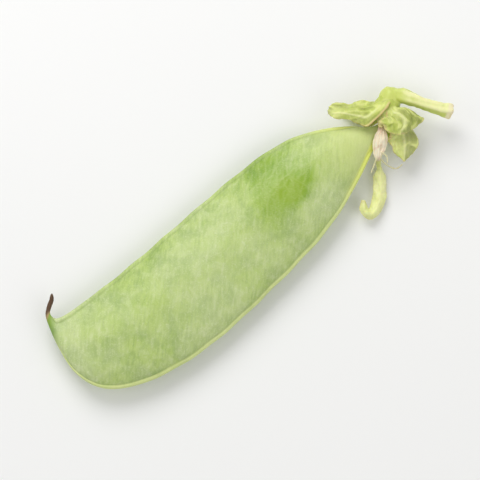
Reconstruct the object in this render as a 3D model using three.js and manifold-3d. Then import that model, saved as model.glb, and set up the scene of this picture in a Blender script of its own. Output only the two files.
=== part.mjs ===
// A snow pea pod as picked, with its calyx, its stalk and the withered stamen sheath at its neck,
// lying on one broad side.
//
// Millimetres, +Z up. +X points towards the stalk, -X towards the beak, and +Y towards the ventral
// seam, the one that bears the peas. The origin is on the surface that the pod lies on, under the
// middle of the whole. Until the last step, s counts millimetres from the neck towards the beak.

import * as THREE from 'three';
import { LoftGeometry } from 'three/addons/geometries/LoftGeometry.js';
import { mergeVertices } from 'three/addons/utils/BufferGeometryUtils.js';
import Module from 'manifold-3d';

const wasm = await Module();
wasm.setup();

// ---------------------------------------------------------------- driving dimensions

const FIT_GAP = 0.3; // between pieces that touch

const POD_MID_S = 42; // where the pod's middle lies lowest
const POD_MID_Z = 4.02; // height of the pod's middle there
const POD_BOW = 0.8; // how far both ends curve up from it
const SEAM_BEAD = { ventral: 0.85, dorsal: 0.6 }; // radius of the bead along each seam
const SEAM_GROOVE = 0.35; // depth of the groove along the ventral seam
const SEAM_SCALLOP = 0.22; // how far the seams draw in between two peas

const PEA_COUNT = 7;
const PEA_FIRST_S = 14.5; // the pea next to the stalk
const PEA_PITCH = 8.7;
const PEA_SWELL = 0.6; // height of the swelling over the largest pea
const PEA_SPREAD = 3.1; // how wide each swelling is
const PEA_ACROSS = 0.14; // towards the ventral seam, as a share of the half width

const CUP_DEPTH = 4.0; // of the calyx, base to mouth
const CUP_BASE = [-6.5, 3.95, 5.5]; // s, y, z of the middle of the base
const CUP_SLANT = [0.82, -0.565, -0.08]; // from the base to the mouth
const CUP_MOUTH_R = 3.2;
const SEPAL_THICKNESS = 0.7;

const STALK_R = 1.25;
const STALK_SHOULDER_R = 1.6; // where it leaves the knob
const STALK_CUT_R = 1.6; // at the broken end
const RECEPTACLE_R = 2.45; // the knob between the stalk and the calyx
const RECEPTACLE_HEIGHT = 3.0;
const STALK_RIBS = 5;
const STALK_RIB_SHARE = 0.07; // height of a rib, as a share of the radius

const SHEATH_THICKNESS = 0.6;

// ---------------------------------------------------------------- helpers

// A point from s, y and z.
const at = ([s, y, z]) => new THREE.Vector3(-s, y, z);

// 0 below low, 1 above high, and smooth between them.
const ramp = (x, low, high) => THREE.MathUtils.smoothstep(x, low, high);

// A smooth curve through points, each given as s, y and z.
const curveThrough = (points) => new THREE.CatmullRomCurve3(points.map(at), false, 'centripetal');

// The value at share t of the way along a list of numbers, with a smooth run between them.
function along(values, t) {
  const line = new THREE.SplineCurve(values.map((v, i) => new THREE.Vector2(i, v)));
  return line.getPoint(t).y;
}

// A closed mesh as a manifold-3d solid.
function solidOf(geometry) {
  const bare = new THREE.BufferGeometry();
  bare.setAttribute('position', geometry.getAttribute('position'));
  bare.setIndex(geometry.getIndex());
  const merged = mergeVertices(bare, 1e-4);
  return new wasm.Manifold(new wasm.Mesh({
    numProp: 3,
    vertProperties: merged.attributes.position.array,
    triVerts: new Uint32Array(merged.index.array),
  }));
}

// A manifold-3d solid as a BufferGeometry.
function geometryOf(solid) {
  const { numProp, numVert, vertProperties, triVerts } = solid.getMesh();
  const position = new Float32Array(numVert * 3);
  for (let i = 0; i < numVert; i++) {
    position.set(vertProperties.subarray(i * numProp, i * numProp + 3), i * 3);
  }
  const geometry = new THREE.BufferGeometry();
  geometry.setAttribute('position', new THREE.BufferAttribute(position, 3));
  geometry.setIndex(new THREE.BufferAttribute(triVerts, 1));
  geometry.computeVertexNormals();
  return geometry;
}

// Points at equal angles once round, each made by point(angle).
const ringOf = (count, point) => Array.from({ length: count }, (_, j) => point(2 * Math.PI * j / count));

// Sweeps a changing section along a curve. ring(t) gives the section's points as [across, out]
// pairs, and outAt(t) the direction that out leans to.
function sweep(curve, steps, outAt, ring) {
  const sections = [];
  for (let i = 0; i <= steps; i++) {
    const t = i / steps;
    const centre = curve.getPointAt(t);
    const tangent = curve.getTangentAt(t);
    const across = new THREE.Vector3().crossVectors(outAt(t), tangent).normalize();
    const out = new THREE.Vector3().crossVectors(tangent, across);
    const place = ([a, b]) => centre.clone().addScaledVector(across, a).addScaledVector(out, b);
    sections.push(ring(t).map(place));
  }
  return new LoftGeometry(sections, { capStart: true, capEnd: true });
}

const UP = new THREE.Vector3(0, 0, 1);

// ---------------------------------------------------------------- the pod

// Sections from the neck to the tip of the beak: both ends of each, as s and y, and half its height.
const POD_SECTIONS = [
  { ventral: [-4.5, 3.4], dorsal: [-5.9, 2.1], half: 1.0 }, // the neck's root, in the calyx
  { ventral: [-2.2, 1.6], dorsal: [-3.4, 0.1], half: 1.05 },
  { ventral: [0.3, 2.5], dorsal: [-0.8, -1.0], half: 1.35 },
  { ventral: [3.2, 4.9], dorsal: [2.4, -2.4], half: 1.9 },
  { ventral: [7.1, 7.3], dorsal: [6.9, -4.8], half: 2.6 },
  { ventral: [12.2, 9.5], dorsal: [12.6, -7.5], half: 3.2 },
  { ventral: [18.5, 10.9], dorsal: [19.2, -10.0], half: 3.6 },
  { ventral: [27.0, 11.0], dorsal: [27.5, -11.9], half: 3.85 },
  { ventral: [36.5, 10.4], dorsal: [37.0, -13.4], half: 3.9 },
  { ventral: [46.0, 9.6], dorsal: [46.8, -14.7], half: 3.9 },
  { ventral: [55.5, 8.8], dorsal: [56.6, -15.2], half: 3.85 },
  { ventral: [64.5, 8.3], dorsal: [66.0, -14.3], half: 3.6 },
  { ventral: [71.6, 8.1], dorsal: [73.6, -11.8], half: 3.1 },
  { ventral: [75.0, 8.2], dorsal: [78.2, -8.2], half: 2.5 },
  { ventral: [76.6, 8.6], dorsal: [80.3, -2.8], half: 1.8 },
  { ventral: [77.2, 9.2], dorsal: [80.0, 3.2], half: 1.25 },
  { ventral: [77.3, 9.9], dorsal: [79.2, 7.4], half: 0.85 }, // the beak
  { ventral: [77.0, 10.5], dorsal: [78.3, 10.3], half: 0.55 },
  { ventral: [76.2, 11.1], dorsal: [76.9, 11.8], half: 0.42 }, // the withered style
  { ventral: [75.0, 12.0], dorsal: [75.6, 12.7], half: 0.38 },
  { ventral: [74.2, 13.2], dorsal: [74.9, 13.5], half: 0.32 },
];
const POD_STEPS_A_SPAN = 5;
const POD_RING = 36; // points round a section, with one on each seam
const ROUND_BELOW = 2; // half widths under this have a round section, as at the neck and the beak
const LENS_ABOVE = 7; // and over this a lens with a bead along each seam
const ROUND_POWER = 0.5; // the power that gives a round section
const LENS_POWER = 0.7; // and the one that gives a lens
const LENS_FLATNESS = 2.2; // 2 is an arc, and more is flatter on the sides
const BEAD_INSET = 0.45; // how much of its radius a bead keeps clear of the lens

// Height of the swellings over the peas, at s and at a share of the half width.
function swelling(s, across, halfWidth) {
  const middlePea = (PEA_COUNT - 1) / 2;
  let height = 0;
  for (let i = 0; i < PEA_COUNT; i++) {
    const smallerToTheEnds = 1 - 0.35 * Math.abs(i - middlePea) / PEA_COUNT;
    const uneven = 0.12 * Math.sin(2.3 * i);
    const ds = (s - PEA_FIRST_S - i * PEA_PITCH) / PEA_SPREAD;
    const dy = (across - PEA_ACROSS) * halfWidth / PEA_SPREAD;
    height += PEA_SWELL * (smallerToTheEnds + uneven) * Math.exp(-(ds * ds + dy * dy) / 2);
  }
  return height;
}

// How far a seam draws in at s: most between two peas, and not at all near the ends.
function scallop(s) {
  const between = 0.5 - 0.5 * Math.cos(2 * Math.PI * (s - PEA_FIRST_S) / PEA_PITCH);
  return SEAM_SCALLOP * between * ramp(s, 8, 16) * (1 - ramp(s, 64, 72));
}

// Half the height of the pod at a share of its half width, from -1, dorsal, to 1, ventral.
function halfHeight(across, halfWidth, half, s) {
  const lensShare = ramp(halfWidth, ROUND_BELOW, LENS_ABOVE);
  const power = THREE.MathUtils.lerp(ROUND_POWER, LENS_POWER, lensShare);
  const bead = (across > 0 ? SEAM_BEAD.ventral : SEAM_BEAD.dorsal) * lensShare;
  const inset = Math.min(1, Math.abs(across) / (1 - BEAD_INSET * bead / halfWidth));
  const lens = half * (1 - inset ** LENS_FLATNESS) ** power;
  const fromEdge = (1 - Math.abs(across)) * halfWidth;
  const ridge = Math.sqrt(Math.max(0, bead ** 2 - (fromEdge - bead) ** 2));
  return Math.max(lens, ridge) + swelling(s, across, halfWidth) * (1 - across ** 4) * lensShare;
}

// The height of the pod's middle at s: it bows up towards both ends.
function middleZ(s) {
  const share = (s - POD_MID_S) / POD_MID_S;
  return POD_MID_Z + POD_BOW * share * share;
}

// A ring round the pod, from its two seam points. What would lie below the surface is flattened.
function podRing(ventral, dorsal, half) {
  const middle = ventral.clone().add(dorsal).multiplyScalar(0.5);
  const reach = ventral.clone().sub(dorsal).multiplyScalar(0.5);
  reach.setLength(reach.length() - scallop(middle.x));
  const halfWidth = reach.length();
  const groove = SEAM_GROOVE / halfWidth * ramp(halfWidth, ROUND_BELOW, LENS_ABOVE);
  return ringOf(POD_RING, (angle) => {
    const across = -Math.cos(angle);
    const grooved = across === 1 ? 1 - groove : across;
    const spot = middle.clone().addScaledVector(reach, grooved);
    const rise = halfHeight(across, halfWidth, half, spot.x) * (Math.sin(angle) < 0 ? -1 : 1);
    return at([spot.x, spot.y, Math.max(0, middleZ(spot.x) + rise)]);
  });
}

function podGeometry() {
  const ventral = new THREE.SplineCurve(POD_SECTIONS.map((p) => new THREE.Vector2(...p.ventral)));
  const dorsal = new THREE.SplineCurve(POD_SECTIONS.map((p) => new THREE.Vector2(...p.dorsal)));
  const halves = POD_SECTIONS.map((p) => p.half);
  const steps = (POD_SECTIONS.length - 1) * POD_STEPS_A_SPAN;
  const rings = [];
  for (let i = 0; i <= steps; i++) {
    const t = i / steps;
    rings.push(podRing(ventral.getPoint(t), dorsal.getPoint(t), along(halves, t)));
  }
  return new LoftGeometry(rings, { capStart: true, capEnd: true });
}

// ---------------------------------------------------------------- the calyx

// Its own directions: deep runs from the base to the mouth, toVentral lies across it towards the
// ventral seam, and toTop across it and upwards.
const deep = at(CUP_SLANT).normalize();
const toTop = new THREE.Vector3(0, 0, 1).addScaledVector(deep, -deep.z).normalize();
const toVentral = new THREE.Vector3().crossVectors(deep, toTop).normalize();

// A point of the calyx at an angle round it, counted from the ventral side over the top.
function cupPoint(angle, radius, depth) {
  return at(CUP_BASE)
    .addScaledVector(deep, depth)
    .addScaledVector(toVentral, radius * Math.cos(angle))
    .addScaledVector(toTop, radius * Math.sin(angle));
}

// The five sepals. angle is where each one leaves the cup, in degrees from the ventral side over the
// top. path is its midline, from inside the cup's wall, with its widths at even steps along it, and
// shifts move it sideways. face is the way that its outer face turns, and curl lifts its edges, as a
// share of the width.
const SEPALS = [
  {
    angle: 45, widths: [4.1, 4.4, 4.9, 6.0, 4.6, 3.3, 3.6, 3.4, 1.8],
    shifts: [0, 0.2, 0.8, 1.2, 0.8, 0.5, 0.1, 0, -0.1], curl: -0.1, face: [0, 0.1, 1],
    path: [
      [-5.4, 4.8, 7.1], [-4.6, 4.8, 7.7], [-3.0, 5.2, 8.2], [-0.8, 6.2, 8.4], [1.3, 7.3, 8.3],
      [3.3, 8.6, 8.0], [5.4, 9.8, 7.3],
    ],
  },
  {
    angle: 118, widths: [1.6, 2.8, 5.4, 8.9, 10.1, 8.9, 6.2, 2.8],
    shifts: [-0.4, -0.7, -0.8, -0.05, 0.65, 0.55, -0.1, -0.3], curl: -0.1, face: [-0.25, -0.2, 1],
    path: [[-6.4, 3.0, 7.4], [-6.4, 1.9, 8.0], [-6.5, 0.6, 8.5], [-5.8, -1.1, 8.8], [-4.4, -3.5, 8.3]],
  },
  {
    angle: 165, widths: [4.0, 4.8, 6.2, 6.8, 6.0, 3.9, 0.5],
    shifts: [0, 0, -0.2, -0.2, -0.1, -0.1, 0], curl: -0.12, face: [-0.15, 0, 1],
    path: [[-6.0, 0.4, 6.0], [-5.0, -0.6, 5.7], [-5.1, -3.2, 5.9], [-3.7, -5.5, 5.8], [-1.7, -8.1, 5.1]],
  },
  {
    angle: 248, widths: [3.4, 2.5, 1.8, 1.4, 1.3, 2.9, 3.0, 2.9, 2.7, 2.2, 1.6], shifts: [0, 0],
    curl: -0.24, face: [-0.2, -0.1, 1],
    path: [
      [-5.3, 1.9, 2.8], [-4.0, 0.9, 2.5], [-1.7, -1.7, 2.2], [2.0, -4.6, 2.0], [4.4, -8.3, 2.0],
      [7.3, -11.6, 2.1], [10.1, -12.8, 2.6], [10.9, -11.4, 3.1], [9.9, -9.5, 3.2],
    ],
  },
  {
    angle: 322, widths: [4.0, 4.6, 4.0, 3.2, 2.0, 0.5], shifts: [0, 0], curl: 0.1, face: [0.3, 0.2, -1],
    path: [[-3.4, 4.4, 3.7], [-2.0, 3.8, 3.4], [-0.8, 4.9, 2.3], [0.9, 7.1, 1.7], [2.6, 9.0, 1.5]],
  },
];
const SEPAL_RING = 12;
const SEPAL_STEPS = 26;
const SEPAL_WAVE = 0.14; // height of the waves along its edges
const SEPAL_WAVES = 2.5;

// One sepal: a thin blade, curved across like the cup where it leaves it.
function sepalGeometry({ angle, widths, shifts, curl, face, path }) {
  const radial = cupPoint(THREE.MathUtils.degToRad(angle), 1, 0).sub(at(CUP_BASE));
  const outAt = (t) => radial.clone().lerp(at(face).normalize(), ramp(t, 0.1, 0.6));
  const ring = (t) => {
    const width = along(widths, t);
    const shift = along(shifts, t);
    const cupSag = CUP_MOUTH_R * (1 - Math.cos(Math.min(1, width / 2 / CUP_MOUTH_R)));
    const edgeLift = THREE.MathUtils.lerp(-cupSag, curl * width, ramp(t, 0.1, 0.5));
    const wave = SEPAL_WAVE * ramp(t, 0.3, 0.6) * Math.sin(2 * Math.PI * SEPAL_WAVES * t + angle);
    return ringOf(SEPAL_RING, (a) => [
      shift + width / 2 * Math.cos(a),
      SEPAL_THICKNESS / 2 * Math.sin(a) + edgeLift * Math.cos(a) ** 2 + wave * Math.cos(a),
    ]);
  };
  return sweep(curveThrough(path), SEPAL_STEPS, outAt, ring);
}

// The cup: outside and inside of its wall, as radius and depth.
const CUP_PROFILE = [
  [0, 0], [2.1, 0], [2.65, 0.5], [2.95, 1.7], [CUP_MOUTH_R, CUP_DEPTH - 0.15],
  [CUP_MOUTH_R - 0.25, CUP_DEPTH + 0.05], [CUP_MOUTH_R - 0.6, CUP_DEPTH - 0.1],
  [2.3, 2.2], [1.85, 1.3], [0, 0.9],
];
const CUP_SEGMENTS = 30;

function calyxGeometry() {
  const profile = CUP_PROFILE.map(([r, depth]) => new THREE.Vector2(r, depth));
  const cup = new THREE.LatheGeometry(profile, CUP_SEGMENTS);
  const basis = new THREE.Matrix4().makeBasis(toVentral, deep, toTop);
  cup.applyMatrix4(basis.setPosition(at(CUP_BASE)));
  const whole = SEPALS.reduce((body, sepal) => body.add(solidOf(sepalGeometry(sepal))), solidOf(cup));
  return geometryOf(whole);
}

// ---------------------------------------------------------------- the stalk

// From inside the knob to the broken end, as s, y and z.
const STALK_PATH = [
  [-8.3, 4.8, 6.1], [-9.1, 3.8, 6.8], [-10.3, 1.9, 7.1], [-12.7, -1.7, 6.7], [-15.8, -5.5, 5.6],
];
const STALK_RING = 20;
const STALK_STEPS = 22;
const STALK_TWIST = 0.9; // of its ribs, in radians, from end to end
const RECEPTACLE_SEGMENTS = 24;

// The knob's outline, from the calyx outwards, as shares of its radius and its height.
const RECEPTACLE_PROFILE = [
  [0, 0], [0.88, 0], [1, 0.12], [0.97, 0.38], [0.82, 0.68], [0.55, 0.9], [0, 1],
];

function stalkGeometry() {
  const profile = RECEPTACLE_PROFILE.map(
    ([r, h]) => new THREE.Vector2(r * RECEPTACLE_R, h * RECEPTACLE_HEIGHT + FIT_GAP),
  );
  const knob = new THREE.LatheGeometry(profile, RECEPTACLE_SEGMENTS);
  const outwards = deep.clone().negate();
  const basis = new THREE.Matrix4().makeBasis(toVentral.clone().negate(), outwards, toTop);
  knob.applyMatrix4(basis.setPosition(at(CUP_BASE)));
  const ring = (t) => ringOf(STALK_RING, (a) => {
    const thicker = (STALK_SHOULDER_R - STALK_R) * (1 - ramp(t, 0.1, 0.5));
    const smooth = STALK_R + thicker + (STALK_CUT_R - STALK_R) * ramp(t, 0.7, 1);
    const radius = smooth * (1 + STALK_RIB_SHARE * Math.cos(STALK_RIBS * (a + STALK_TWIST * t)));
    return [radius * Math.cos(a), radius * Math.sin(a)];
  });
  const rod = sweep(curveThrough(STALK_PATH), STALK_STEPS, () => UP, ring);
  return geometryOf(solidOf(knob).add(solidOf(rod)));
}

// ---------------------------------------------------------------- the stamen sheath

// The withered tube of the stamens: a strip that bends over the neck, with loose threads at its end.
const SHEATH_PATH = [
  [-2.9, 1.3, 6.8], [-2.1, 0.7, 6.95], [-1.2, -0.5, 7.25], [0.5, -2.2, 7.1], [2.1, -3.8, 6.2],
  [2.6, -4.8, 5.3],
];
const SHEATH_WIDTHS = [1.2, 1.6, 2.9, 3.0, 2.1, 0.9]; // root to end
const SHEATH_SAG = 0.16; // of its edges, as a share of the width
const SHEATH_RING = 12;
const SHEATH_STEPS = 16;
const THREADS = [
  [[1.9, -3.7, 6.2], [1.9, -5.8, 5.2], [0.7, -8.2, 5.0], [-0.9, -8.4, 5.6]],
  [[2.2, -3.8, 6.1], [3.9, -4.9, 5.9], [5.6, -6.0, 6.1]],
  [[1.5, -3.3, 6.4], [0.9, -5.0, 6.9], [1.7, -6.4, 7.7]],
];
const THREAD_R = 0.32;
const THREAD_RING = 6;
const THREAD_STEPS = 10;

function sheathGeometry() {
  const stripRing = (t) => ringOf(SHEATH_RING, (a) => {
    const width = along(SHEATH_WIDTHS, t);
    const edgeSag = SHEATH_SAG * width * Math.cos(a) ** 2;
    return [width / 2 * Math.cos(a), SHEATH_THICKNESS / 2 * Math.sin(a) - edgeSag];
  });
  const threadRing = () => ringOf(THREAD_RING, (a) => [THREAD_R * Math.cos(a), THREAD_R * Math.sin(a)]);
  const strip = sweep(curveThrough(SHEATH_PATH), SHEATH_STEPS, () => UP, stripRing);
  const threads = THREADS.map((path) => sweep(curveThrough(path), THREAD_STEPS, () => UP, threadRing));
  return geometryOf(threads.reduce((body, thread) => body.add(solidOf(thread)), solidOf(strip)));
}

// ---------------------------------------------------------------- the whole

const podMaterial = new THREE.MeshStandardMaterial({ color: 0x8fb45a, roughness: 0.42, metalness: 0 });
const calyxMaterial = new THREE.MeshStandardMaterial({ color: 0xb4c265, roughness: 0.6, metalness: 0 });
const stalkMaterial = new THREE.MeshStandardMaterial({ color: 0xc3cf7a, roughness: 0.55, metalness: 0 });
const sheathMaterial = new THREE.MeshStandardMaterial({ color: 0xdccbb0, roughness: 0.85, metalness: 0 });

const PIECES = [
  ['pod', podGeometry(), podMaterial],
  ['calyx', calyxGeometry(), calyxMaterial],
  ['stalk', stalkGeometry(), stalkMaterial],
  ['stamen_sheath', sheathGeometry(), sheathMaterial],
];

const pea_pod = new THREE.Group();
for (const [name, geometry, material] of PIECES) {
  const mesh = new THREE.Mesh(geometry, material);
  mesh.name = name;
  pea_pod.add(mesh);
}

// The origin goes to the surface, under the middle of the whole.
const box = new THREE.Box3().setFromObject(pea_pod, true);
const middle = box.getCenter(new THREE.Vector3());
pea_pod.position.set(-middle.x, -middle.y, -box.min.z);

export default pea_pod;
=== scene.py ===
"""Looks for a snow pea pod as picked.

The shell of the pod, its calyx, its stalk and the withered sheath of its stamens each replace the
part's plain solid. A pale floor, soft studio light and a camera complete the scene.
"""

from __future__ import annotations

import logging
import math
from dataclasses import dataclass, field
from enum import Enum
from typing import Any, Callable, Iterable, Sequence

import bpy
import numpy as np
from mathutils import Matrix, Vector, kdtree


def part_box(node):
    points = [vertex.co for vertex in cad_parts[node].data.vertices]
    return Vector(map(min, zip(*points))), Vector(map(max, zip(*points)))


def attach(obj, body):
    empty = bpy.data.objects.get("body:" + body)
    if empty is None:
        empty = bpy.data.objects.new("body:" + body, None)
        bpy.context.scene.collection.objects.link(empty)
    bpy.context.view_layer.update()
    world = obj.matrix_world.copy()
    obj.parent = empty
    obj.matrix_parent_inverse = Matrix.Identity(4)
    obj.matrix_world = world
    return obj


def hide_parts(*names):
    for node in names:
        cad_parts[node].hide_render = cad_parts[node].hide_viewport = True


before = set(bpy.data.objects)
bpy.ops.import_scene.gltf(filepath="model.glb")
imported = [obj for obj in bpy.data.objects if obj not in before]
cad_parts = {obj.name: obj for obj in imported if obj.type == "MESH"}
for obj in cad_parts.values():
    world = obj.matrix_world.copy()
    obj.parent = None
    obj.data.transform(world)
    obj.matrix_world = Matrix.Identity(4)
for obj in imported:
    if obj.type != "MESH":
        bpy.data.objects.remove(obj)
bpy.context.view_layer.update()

log = logging.getLogger("pea_pod")

MM = 0.001  # metres in a millimetre
PART_ORIGIN = np.array([31.6344, 0.8176, 0.0])  # of the part's own measures, in the row frame, mm
BODY = "root"
CHANNEL_MAX = 255
STEP = 0.05  # between the places that a slope is worked out from, in mm
NEIGHBOURS = 3  # points of the blank that give a point of the skin its values
TOUCHING = 1e-6  # added to the square of a distance in mm, so that a point at none can be weighed
TINY = 1e-12  # keeps a length of nothing from dividing by nothing
UP = np.array([0.0, 0.0, 1.0])

Array = np.ndarray
Point = tuple[float, float, float]
Section = Callable[[Array, Array], tuple[Array, Array]]


# ---------------------------------------------------------------- measures


def ramp(x: Array | float, low: float, high: float) -> Array:
    """0 below low, 1 above high, and smooth between them."""
    share = np.clip((np.asarray(x, float) - low) / (high - low), 0, 1)
    return share * share * (3 - 2 * share)


def unit(vectors: Array) -> Array:
    """The vectors at a length of 1."""
    return vectors / np.maximum(np.linalg.norm(vectors, axis=-1, keepdims=True), TINY)


def bell(x: Array, width: float) -> Array:
    """1 where x is 0, and a smooth fall to nothing past width."""
    return np.exp(-((x / width) ** 2))


def summed(steps: Array) -> Array:
    """The length reached after each step, from 0."""
    return np.concatenate([[0], np.cumsum(steps)])


def turns(count: int) -> Array:
    """Angles at even steps round a circle."""
    return np.linspace(0, 2 * math.pi, count, endpoint=False)


def cubic(a: Array, b: Array, leaving: Array, arriving: Array, w: Array) -> Array:
    """The smooth run from a to b at shares w, with these slopes where it leaves and arrives."""
    square = (3 * (b - a) - 2 * leaving - arriving) * w**2
    return a + leaving * w + square + (2 * (a - b) + leaving + arriving) * w**3


def at(points: Sequence[float] | Sequence[Sequence[float]] | Array) -> Array:
    """Points from s, y and z, where s counts millimetres from the neck towards the beak."""
    return np.asarray(points, float) * [-1, 1, 1]


def through(knots: Sequence[Any], share: Array) -> Array:
    """Values on a smooth run through knots.

    Args:
        knots: numbers or points, evenly spaced along the run.
        share: places along it, from 0 to 1.

    Returns:
        A value for each place.
    """
    knots = np.asarray(knots, float)
    last = len(knots) - 1
    place = np.clip(share, 0, 1) * last
    start = np.minimum(place.astype(int), last - 1)
    w = (place - start).reshape(place.shape + (1,) * (knots.ndim - 1))
    before, a, b = knots[np.maximum(start - 1, 0)], knots[start], knots[start + 1]
    after = knots[np.minimum(start + 2, last)]
    return cubic(a, b, (b - before) / 2, (after - a) / 2, w)


@dataclass(frozen=True)
class Path:
    """A smooth line through points, given as s, y and z."""

    knots: tuple[Point, ...]
    steps_a_span: int = 24  # that it is worked out at, between two of its points

    def run(self, steps: int) -> tuple[Array, Array]:
        """Walks the line in even steps.

        Args:
            steps: how many there are.

        Returns:
            The points, and the directions there.
        """
        close = self._close_points()
        lengths = summed(np.linalg.norm(np.diff(close, axis=0), axis=1))
        stops = np.linspace(0, lengths[-1], steps + 1)
        points = np.stack([np.interp(stops, lengths, close[:, k]) for k in range(3)], -1)
        return points, unit(np.gradient(points, axis=0))

    def _close_points(self) -> Array:
        """Many points on the line, spaced so that it neither loops nor overshoots.

        Returns:
            The points.
        """
        p = at(self.knots)
        p = np.vstack([2 * p[0] - p[1], p, 2 * p[-1] - p[-2]])
        made = []
        for a, b, c, d in zip(p[:-3], p[1:-2], p[2:-1], p[3:]):
            ab, bc, cd = (math.sqrt(np.linalg.norm(v)) for v in (b - a, c - b, d - c))
            leaving = ((b - a) / ab - (c - a) / (ab + bc) + (c - b) / bc) * bc
            arriving = ((c - b) / bc - (d - b) / (bc + cd) + (d - c) / cd) * bc
            w = np.linspace(0, 1, self.steps_a_span, endpoint=False)[:, None]
            made.append(cubic(b, c, leaving, arriving, w))
        return np.vstack([*made, p[-2][None]])


@dataclass(frozen=True)
class Ripples:
    """Smooth, repeatable unevenness: plane waves in scattered directions, about -1 to 1."""

    seed: int
    wavelength: float
    waves: int = 14

    def at(self, points: Array) -> Array:
        """The height of the ripples at each point.

        Args:
            points: places, of any number of measures.

        Returns:
            A height for each of them.
        """
        rng = np.random.default_rng(self.seed)
        directions = unit(rng.normal(size=(self.waves, points.shape[-1])))
        lengths = self.wavelength * rng.uniform(0.7, 1.6, self.waves)
        phases = rng.uniform(0, 2 * math.pi, self.waves)
        swing = points @ (directions / lengths[:, None]).T * 2 * math.pi + phases
        return np.sin(swing).sum(-1) / math.sqrt(self.waves)

    def folds(self, points: Array) -> Array:
        """The height of sharp folds at each point, also about -1 to 1."""
        return 1 - 2 * np.minimum(1, np.abs(self.at(points)))


# ---------------------------------------------------------------- meshes


def add_object(name: str, data: bpy.types.ID) -> bpy.types.Object:
    """Adds an object with this data to the scene.

    Args:
        name: the object's name.
        data: its mesh, light or camera.

    Returns:
        The object.
    """
    made = bpy.data.objects.new(name, data)
    bpy.context.scene.collection.objects.link(made)
    return made


class Surface:
    """A mesh in the making: points in millimetres, faces, and named values at the points."""

    def __init__(self) -> None:
        """Starts with no points."""
        self.points = np.zeros((0, 3))
        self.faces: list[tuple[int, ...]] = []
        self.values: dict[str, Array] = {}

    def add_tube(self, rings: Array, **values: Array | float) -> None:
        """Adds a tube that is closed at both ends.

        Args:
            rings: points of each ring in turn, as rows by points round by 3.
            values: named values, one for each point, one for each ring or one for all.
        """
        rows, round_it, _ = rings.shape
        start = len(self.points)
        index = start + np.arange(rows * round_it).reshape(rows, round_it)
        after = np.roll(index, -1, axis=1)
        quads = np.stack([index[:-1], after[:-1], after[1:], index[1:]], -1).reshape(-1, 4)
        self.faces += [tuple(q) for q in quads.tolist()]
        ends = np.stack([rings[0].mean(0), rings[-1].mean(0)])
        first = start + rows * round_it
        last = first + 1
        self.faces += [(first, b, a) for a, b in zip(index[0].tolist(), after[0].tolist())]
        self.faces += [(last, a, b) for a, b in zip(index[-1].tolist(), after[-1].tolist())]
        self.points = np.vstack([self.points, rings.reshape(-1, 3), ends])
        for name in {**self.values, **values}:
            new = np.asarray(values.get(name, 0.0), float)
            new = new[:, None] if new.ndim == 1 else new
            grid = np.broadcast_to(new, (rows, round_it))
            kept = self.values.get(name, np.zeros(start))
            tips = [grid[0].mean(), grid[-1].mean()]
            self.values[name] = np.concatenate([kept, grid.ravel(), tips])

    def _mesh(self, name: str, points: Array) -> bpy.types.Mesh:
        """A smooth-shaded mesh with these points and this surface's faces and values.

        Args:
            name: the mesh's name.
            points: its points.

        Returns:
            The mesh.
        """
        mesh = bpy.data.meshes.new(name)
        mesh.from_pydata(points.tolist(), [], self.faces)
        for key, numbers in self.values.items():
            layer = mesh.attributes.new(key, "FLOAT", "POINT")
            layer.data.foreach_set("value", numbers.astype(np.float32))
        mesh.shade_smooth()
        mesh.update()
        return mesh

    def fused(self, voxel: float, rounds: int) -> Surface:
        """Grows the solids that overlap into one skin, which keeps their values.

        Args:
            voxel: size of its faces, in mm.
            rounds: how many times it is smoothed.

        Returns:
            The skin.
        """
        blank = add_object("blank", self._mesh("blank", self.points))
        remesh = blank.modifiers.new("remesh", "REMESH")
        remesh.mode, remesh.voxel_size = "VOXEL", voxel
        smooth = blank.modifiers.new("smooth", "SMOOTH")
        smooth.iterations = rounds
        evaluated = blank.evaluated_get(bpy.context.evaluated_depsgraph_get())
        mesh = evaluated.to_mesh()
        points, edges = np.zeros(len(mesh.vertices) * 3), np.zeros(len(mesh.edges) * 2, np.int32)
        mesh.vertices.foreach_get("co", points)
        mesh.edges.foreach_get("vertices", edges)
        kept = largest_island(len(mesh.vertices), edges.reshape(-1, 2))
        number = np.cumsum(kept) - 1
        skin = Surface()
        skin.points = points.reshape(-1, 3)[kept]
        skin.faces = [tuple(number[list(p.vertices)]) for p in mesh.polygons if kept[p.vertices[0]]]
        evaluated.to_mesh_clear()
        bpy.data.objects.remove(blank)
        near, weight = nearest(self.points, skin.points, NEIGHBOURS)
        for key, numbers in self.values.items():
            skin.values[key] = (numbers[near] * weight).sum(1)
        return skin

    def push(self, heights: Array) -> None:
        """Moves each point along its normal by a height in mm.

        Args:
            heights: a height for each point.
        """
        mesh = self._mesh("normals", self.points)
        normals = np.zeros(len(self.points) * 3, np.float32)
        mesh.vertex_normals.foreach_get("vector", normals)
        self.points = self.points + normals.reshape(-1, 3) * heights[:, None]
        bpy.data.meshes.remove(mesh)

    def keep_in(self, low: Vector, high: Vector, give: float = 0.2) -> None:
        """Keeps every point inside a box of the row frame, without flattening what would stick out.

        Args:
            low: the box's low corner, in metres.
            high: its high corner, in metres.
            give: depth in mm of the layer inside its faces where points are squeezed together.
        """
        low_mm = np.array(low) / MM - PART_ORIGIN
        high_mm = np.array(high) / MM - PART_ORIGIN
        above = np.maximum(0, self.points - high_mm + give)
        below = np.maximum(0, low_mm + give - self.points)
        squeezed = np.where(above > 0, high_mm - give * np.exp(-above / give), self.points)
        self.points = np.where(below > 0, low_mm + give * np.exp(-below / give), squeezed)

    def to_object(self, name: str, material: bpy.types.Material) -> bpy.types.Object:
        """Makes the object, in metres and in the row frame.

        Args:
            name: the object's name.
            material: its material.

        Returns:
            The object.
        """
        mesh = self._mesh(name, (self.points + PART_ORIGIN) * MM)
        mesh.materials.append(material)
        return add_object(name, mesh)


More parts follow.
